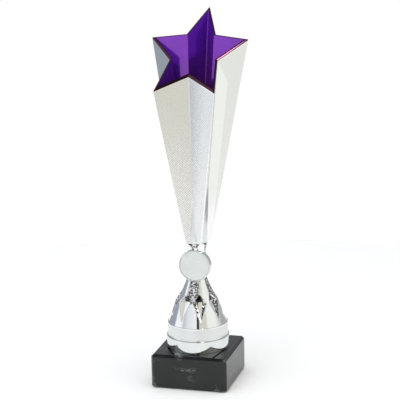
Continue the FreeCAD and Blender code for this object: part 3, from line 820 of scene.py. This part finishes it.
def add_disc(material):
    """Blank disc with a rounded front edge and a very shallow dish."""
    levels = [(EMBLEM_RADIUS - DISC_BACK_CHAMFER, EMBLEM_BACK),
              (EMBLEM_RADIUS, EMBLEM_BACK + DISC_BACK_CHAMFER)]
    for index in range(DISC_EDGE_STEPS + 1):
        angle = math.pi / 2 * index / DISC_EDGE_STEPS
        levels.append((EMBLEM_RADIUS - DISC_EDGE * (1 - math.cos(angle)),
                       EMBLEM_FRONT - DISC_EDGE * (1 - math.sin(angle))))
    for share in (0.9, 0.7, 0.45, 0.2):
        levels.append((EMBLEM_RADIUS * share, EMBLEM_FRONT - DISC_DISH * (1 - share)))
    bm = bmesh.new()
    rings, _ = add_grid(bm, [facing_front(radius, front) for radius, front in levels], False)
    bm.faces.new(rings[0][::-1])
    bm.faces.new(rings[-1])
    return finished("emblem_blank_disc", bm, [material], "emblem_disc")


# ---------------------------------------------------------------- star cup

def star_corner(index, tip_radius, valley_radius, centre, stretch):
    """One corner of a star outline in plan: even corners are valleys, odd ones are tips."""
    radius = tip_radius if index % 2 else valley_radius
    angle = math.pi * index / STAR_POINTS
    return radius * math.sin(angle), centre - radius * math.cos(angle) * stretch


def fin_line(index):
    """Bottom and top ends of one edge of the cup, from the neck to the sloping rim."""
    bottom_x, bottom_y = star_corner(index, STAR_BOTTOM_TIP, STAR_BOTTOM_VALLEY, 0, 1)
    top_x, top_y = star_corner(index, RIM_TIP, RIM_VALLEY, RIM_CENTRE, RIM_STRETCH)
    top_z = RIM_HEIGHT_AT_AXIS + RIM_SLOPE * top_y
    return Vector((bottom_x, bottom_y, STAR_BOTTOM)), Vector((top_x, top_y, top_z))


def rim_plane(drop):
    """Height and slope of a plane parallel to the rim, a vertical drop below it."""
    return RIM_HEIGHT_AT_AXIS - drop, RIM_SLOPE


def star_outline(plane, inset=0.0):
    """The ten corners of the cup on a plane z = height + slope * y, moved inwards in plan."""
    height, slope = plane
    corners = []
    for index in range(2 * STAR_POINTS):
        bottom, top = fin_line(index)
        along = top - bottom
        share = (height + slope * bottom.y - bottom.z) / (along.z - slope * along.y)
        corners.append((bottom + along * share).to_2d())
    moved = []
    for index, here in enumerate(corners):
        first = (here - corners[index - 1]).normalized()
        second = (corners[(index + 1) % len(corners)] - here).normalized()
        first_normal = Vector((-first.y, first.x))
        second_normal = Vector((-second.y, second.x))
        step = (first_normal + second_normal) * (inset / (1 + first_normal.dot(second_normal)))
        moved.append(here + step)
    return moved


def rounded_star(plane, inset):
    """Closed loop of points: the star outline on a plane with each corner rounded."""
    height, slope = plane
    corners = star_outline(plane, inset)
    count = len(corners)
    arcs = []
    for index, corner in enumerate(corners):
        to_before = (corners[index - 1] - corner).normalized()
        to_after = (corners[(index + 1) % count] - corner).normalized()
        half = to_before.angle(to_after) / 2
        radius = TIP_ROUND if index % 2 else VALLEY_ROUND
        centre = corner + (to_before + to_after).normalized() * (radius / math.sin(half))
        start = corner + to_before * (radius / math.tan(half)) - centre
        end = corner + to_after * (radius / math.tan(half)) - centre
        turn = start.angle_signed(end)
        arc = []
        for step in range(CORNER_STEPS):
            angle = -turn * step / (CORNER_STEPS - 1)
            arc.append(centre + Matrix.Rotation(angle, 2) @ start)
        arcs.append(arc)
    loop = []
    for index, arc in enumerate(arcs):
        loop += arc
        following = arcs[(index + 1) % count][0]
        for step in range(1, FACET_STEPS):
            loop.append(arc[-1].lerp(following, step / FACET_STEPS))
    return [Vector((point.x, point.y, height + slope * point.y)) for point in loop]


def between(lower, upper, rows):
    """Loops spread evenly from one loop to another, both included."""
    loops = []
    for row in range(rows + 1):
        share = row / rows
        loops.append([first.lerp(second, share) for first, second in zip(lower, upper)])
    return loops


def distance_to_line(point, line):
    """Distance of a point from the line through two points."""
    start, end = line
    return (point - start).cross(point - end).length / (end - start).length


def lay_out_facets(bm, faces):
    """Facet UVs: place on the flat facet, and distances from its tip edge and its valley edge."""
    facet_uv = bm.loops.layers.uv.new("facet")
    edge_uv = bm.loops.layers.uv.new("edges")
    per_corner = CORNER_STEPS - 1 + FACET_STEPS
    columns = per_corner * 2 * STAR_POINTS
    for number, face in enumerate(faces):
        column = number % columns
        facet = int((column - (CORNER_STEPS - 1) / 2) // per_corner) % (2 * STAR_POINTS)
        after = (facet + 1) % (2 * STAR_POINTS)
        valley = fin_line(facet if facet % 2 == 0 else after)
        tip = fin_line(after if facet % 2 == 0 else facet)
        across = (tip[1] - valley[1])
        up = (valley[1] - valley[0]).normalized()
        across = (across - up * across.dot(up)).normalized()
        face.material_index = 0 if facet in FRONT_FACETS else 1
        for loop in face.loops:
            offset = loop.vert.co - valley[0]
            loop[facet_uv].uv = (offset.dot(across) * MM, offset.dot(up) * MM)
            loop[edge_uv].uv = (distance_to_line(loop.vert.co, tip) * MM,
                                distance_to_line(loop.vert.co, valley) * MM)


def add_cup(hatched, side_hatched):
    """Thin-walled star of silver, with its floor inside; its front valley has the narrow margins, the other
    facets the wide margin shaped as a painted light patch.
    """
    bottom = rounded_star((STAR_BOTTOM, 0.0), 0.0)
    rim = rounded_star(rim_plane(LINER_LIP), 0.0)
    inner_rim = rounded_star(rim_plane(LINER_LIP), CUP_WALL)
    inner_floor = rounded_star((CUP_HOLLOW_BOTTOM, 0.0), CUP_WALL)
    bm = bmesh.new()
    outside = between(bottom, rim, CUP_ROWS)
    rings, faces = add_grid(bm, outside + [inner_rim, inner_floor], False)
    lay_out_facets(bm, faces[:CUP_ROWS * len(bottom)])
    bm.faces.new(rings[0][::-1])
    bm.faces.new(rings[-1])
    return finished("star_cup_shell", bm, [hatched, side_hatched], "cup_shell")


def core_section_loops():
    """Loops of the round core, from the neck upwards."""
    loops = []
    for row in range(CORE_ROWS + 1):
        share = row / CORE_ROWS
        radius = CORE_BOTTOM_RADIUS + (CORE_TOP_RADIUS - CORE_BOTTOM_RADIUS) * share
        centre = CORE_LEAN * share
        height = STAR_BOTTOM + (CORE_TOP - STAR_BOTTOM) * share
        loop = [polar(radius, 360.0 * column / CORE_COLUMNS, height) + Vector((0, centre, 0))
                for column in range(CORE_COLUMNS)]
        loops.append(loop)
    return loops


def add_core(material):
    """Round core of the cup, which shows in the valleys above the neck."""
    bm = bmesh.new()
    rings, _ = add_grid(bm, core_section_loops(), False)
    bm.faces.new(rings[0][::-1])
    bm.faces.new(rings[-1])
    return finished("star_cup_core", bm, [material], "cup_shell")


def add_liner(purple, lip):
    """Purple star tray with a rounded lip."""
    levels = [
        (rim_plane(LINER_LIP), 0.0),
        (rim_plane(LINER_LIP - LIP_ROUND), LIP_ROUND * 0.6),
        (rim_plane(LIP_ROUND * 0.8), LIP_SLOPE_WIDTH - LIP_ROUND * 0.9),
        (rim_plane(LIP_ROUND * 0.3), LIP_SLOPE_WIDTH),
        (rim_plane(LIP_ROUND * 0.2), LINER_INSET - LIP_ROUND * 0.4),
        (rim_plane(LIP_ROUND * 0.8), LINER_INSET),
    ]
    lip_loops = [rounded_star(plane, inset) for plane, inset in levels]
    floor_top = rounded_star((LINER_BOTTOM + LINER_FLOOR, 0.0), LINER_INSET)
    outer_top = rounded_star(rim_plane(LINER_LIP), LINER_OUTSIDE)
    outer_floor = rounded_star((LINER_BOTTOM, 0.0), LINER_OUTSIDE)
    inside = between(lip_loops[-1], floor_top, CUP_ROWS)[1:]
    bm = bmesh.new()
    rings, faces = add_grid(bm, [outer_floor, outer_top] + lip_loops + inside, False)
    columns = len(floor_top)
    for face in faces[columns:columns * (len(lip_loops) + 1)]:
        face.material_index = 1
    bm.faces.new(rings[0][::-1])
    bm.faces.new(rings[-1])
    return finished("purple_star_liner", bm, [purple, lip], "cup_liner")


# ---------------------------------------------------------------- CAD nodes that stay

def soften(node, width, segments=3):
    """Rounds the sharp edges of a CAD node a little."""
    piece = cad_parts[node]
    bevel = piece.modifiers.new("soft_edges", "BEVEL")
    bevel.width = width * MM
    bevel.segments = segments
    bevel.limit_method = "ANGLE"
    bevel.angle_limit = math.radians(30)
    bevel.harden_normals = True


def paint(node, material):
    """Gives a CAD node one material."""
    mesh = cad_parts[node].data
    mesh.materials.clear()
    mesh.materials.append(material)


def finish_cad_nodes(silver, marble):
    """Materials and soft edges of the nodes that keep their CAD shape."""
    zinc = metal("zinc_steel", (0.62, 0.63, 0.66), (0.50, 0.51, 0.53), 0.22, 0.42, 0.2)[0]
    for node in ("base_washer", "spring_washer", "base_nut", "tie_rod", "cup_washer", "cup_nut"):
        paint(node, zinc)
    paint("base_pad", foam_material())
    paint("emblem_tape", tape_material())
    paint("emblem_holder", silver)
    paint("marble_base", marble)
    soften("marble_base", 0.25)


# ---------------------------------------------------------------- studio

# Tints of the surround by angle about the axis, as the trophy reflects them
AZIMUTH_STOPS = [
    (-180, (0.50, 0.52, 0.53)), (-140, (0.36, 0.37, 0.38)), (-112, (0.33, 0.37, 0.43)),
    (-90, (0.36, 0.40, 0.47)), (-85, (0.95, 0.98, 1.04)), (-60, (0.95, 0.97, 1.0)),
    (-46, (0.60, 0.60, 0.68)), (-30, (0.80, 0.82, 0.86)), (9, (0.95, 0.96, 0.96)),
    (12, (0.02, 0.02, 0.02)), (19, (0.02, 0.02, 0.02)), (22, (0.70, 0.68, 0.60)),
    (52, (0.72, 0.70, 0.62)), (58, (0.92, 0.94, 0.88)), (96, (0.92, 0.94, 0.91)),
    (128, (0.40, 0.41, 0.41)), (180, (0.50, 0.52, 0.53))]
OVERHEAD_COLOUR = (0.23, 0.23, 0.24)
LAMP_COLOUR = (20.0, 20.0, 20.0)
LAMP_DIRECTION = Vector((0.291, -0.382, 0.878)).normalized()[:]
FLOOR_RADIUS = 0.45
FLOOR_GLOW = 0.07
LIGHT_AIM = Vector((0, 0, 0.1))


def add_world():
    """White surround that reflects as a studio's boxes and gaps, with a lamp seen only in reflections."""
    world = bpy.data.worlds.new("studio")
    bpy.context.scene.world = world
    tree = Tree(world)
    direction = tree.add("ShaderNodeTexCoord", output="Generated")
    parts = tree.add("ShaderNodeSeparateXYZ", [(0, direction)]).node.outputs
    azimuth = tree.math("ARCTAN2", parts["X"], tree.math("MULTIPLY", parts["Y"], -1.0))
    share = tree.math("MULTIPLY_ADD", azimuth, 1 / (2 * math.pi), 0.5)
    ramp = tree.nodes.new("ShaderNodeValToRGB")
    elements = ramp.color_ramp.elements
    while len(elements) > 1:
        elements.remove(elements[-1])
    for degrees, colour in AZIMUTH_STOPS:
        element = elements.new(degrees / 360 + 0.5) if degrees > -180 else elements[0]
        element.position = degrees / 360 + 0.5
        element.color = (*colour, 1.0)
    tree.put(ramp.inputs[0], share)
    overhead = tree.spread(parts["Z"], 0.80, 0.93, smooth=True)
    tinted = tree.mix(overhead, ramp.outputs[0], OVERHEAD_COLOUR)
    facing = tree.add("ShaderNodeVectorMath", [(0, direction), (1, LAMP_DIRECTION)], "Value",
                      operation="DOT_PRODUCT")
    lamp = tree.math("MULTIPLY", tree.spread(facing, 0.9962, 0.9980, smooth=True),
                     tree.add("ShaderNodeLightPath", output="Is Glossy Ray"))
    tinted = tree.mix(lamp, tinted, LAMP_COLOUR)
    seen = tree.add("ShaderNodeLightPath", output="Is Camera Ray")
    background = tree.nodes["Background"]
    tree.put(background.inputs["Color"], tree.mix(seen, tinted, (1.0, 1.0, 1.0)))


def add_floor():
    """Round pale floor that the trophy stands on, with a faint glow that keeps it white."""
    bm = bmesh.new()
    bmesh.ops.create_circle(bm, cap_ends=True, radius=FLOOR_RADIUS, segments=128)
    mesh = bpy.data.meshes.new("floor")
    bm.to_mesh(mesh)
    bm.free()
    floor = bpy.data.objects.new("floor", mesh)
    bpy.context.scene.collection.objects.link(floor)
    material, tree, shader = new_material("pale_floor")
    grain = tree.noise(40.0, 4.0)
    tree.put(shader.inputs["Base Color"], tree.mix(grain, (0.94, 0.94, 0.94), (0.97, 0.97, 0.97)))
    tree.put(shader.inputs["Roughness"], tree.spread(grain, 0.3, 0.7, 0.85, 0.95))
    shader.inputs["Emission Color"].default_value = (1.0, 1.0, 1.0, 1.0)
    shader.inputs["Emission Strength"].default_value = FLOOR_GLOW
    mesh.materials.append(material)


def add_light(name, place, size, power):
    """Soft square light that points at the trophy and doesn't show in its reflections."""
    data = bpy.data.lights.new(name, "AREA")
    data.size = size
    data.energy = power
    light = bpy.data.objects.new(name, data)
    light.location = place
    light.rotation_euler = (LIGHT_AIM - light.location).to_track_quat("-Z", "Y").to_euler()
    light.visible_glossy = False
    bpy.context.scene.collection.objects.link(light)


def add_camera():
    """Camera at the front, a little above and to the right."""
    elevation = math.radians(CAMERA_ELEVATION)
    roll = math.radians(CAMERA_ROLL)
    back = Vector((0, -math.cos(elevation), math.sin(elevation)))
    right = Vector((1, 0, 0))
    up = right.cross(-back)
    rolled_right = math.cos(roll) * right + math.sin(roll) * up
    rolled_up = math.cos(roll) * up - math.sin(roll) * right
    placed = Matrix((rolled_right, rolled_up, back)).transposed().to_4x4()
    placed.translation = CAMERA_AIM + back * CAMERA_DISTANCE
    data = bpy.data.cameras.new("camera")
    data.lens = CAMERA_LENS
    data.sensor_width = 36.0
    data.clip_end = 20.0
    camera = bpy.data.objects.new("camera", data)
    camera.matrix_world = Matrix.Rotation(math.radians(CAMERA_AZIMUTH), 4, "Z") @ placed
    bpy.context.scene.collection.objects.link(camera)
    bpy.context.scene.camera = camera


def build():
    """The visible pieces, the materials of the CAD nodes, and the studio."""
    chrome = chrome_material()
    silver = bright_silver_material()
    add_foot(silver)
    add_band(knurled_silver_material())
    add_bell(chrome)
    add_neck(chrome)
    add_disc(disc_material())
    add_cup(hatched_silver_material("hatched_silver", False),
            hatched_silver_material("side_hatched_silver", True))
    add_core(silver)
    add_liner(purple_material(), lip_material())
    finish_cad_nodes(silver, marble_material())
    add_world()
    add_floor()
    add_light("top_light", (0.0, 0.0, 1.6), 1.4, 14.5)
    add_light("front_light", (-0.5, -1.6, 0.9), 1.0, 6.0)
    add_camera()
    bpy.context.scene.view_settings.view_transform = "Standard"


build()
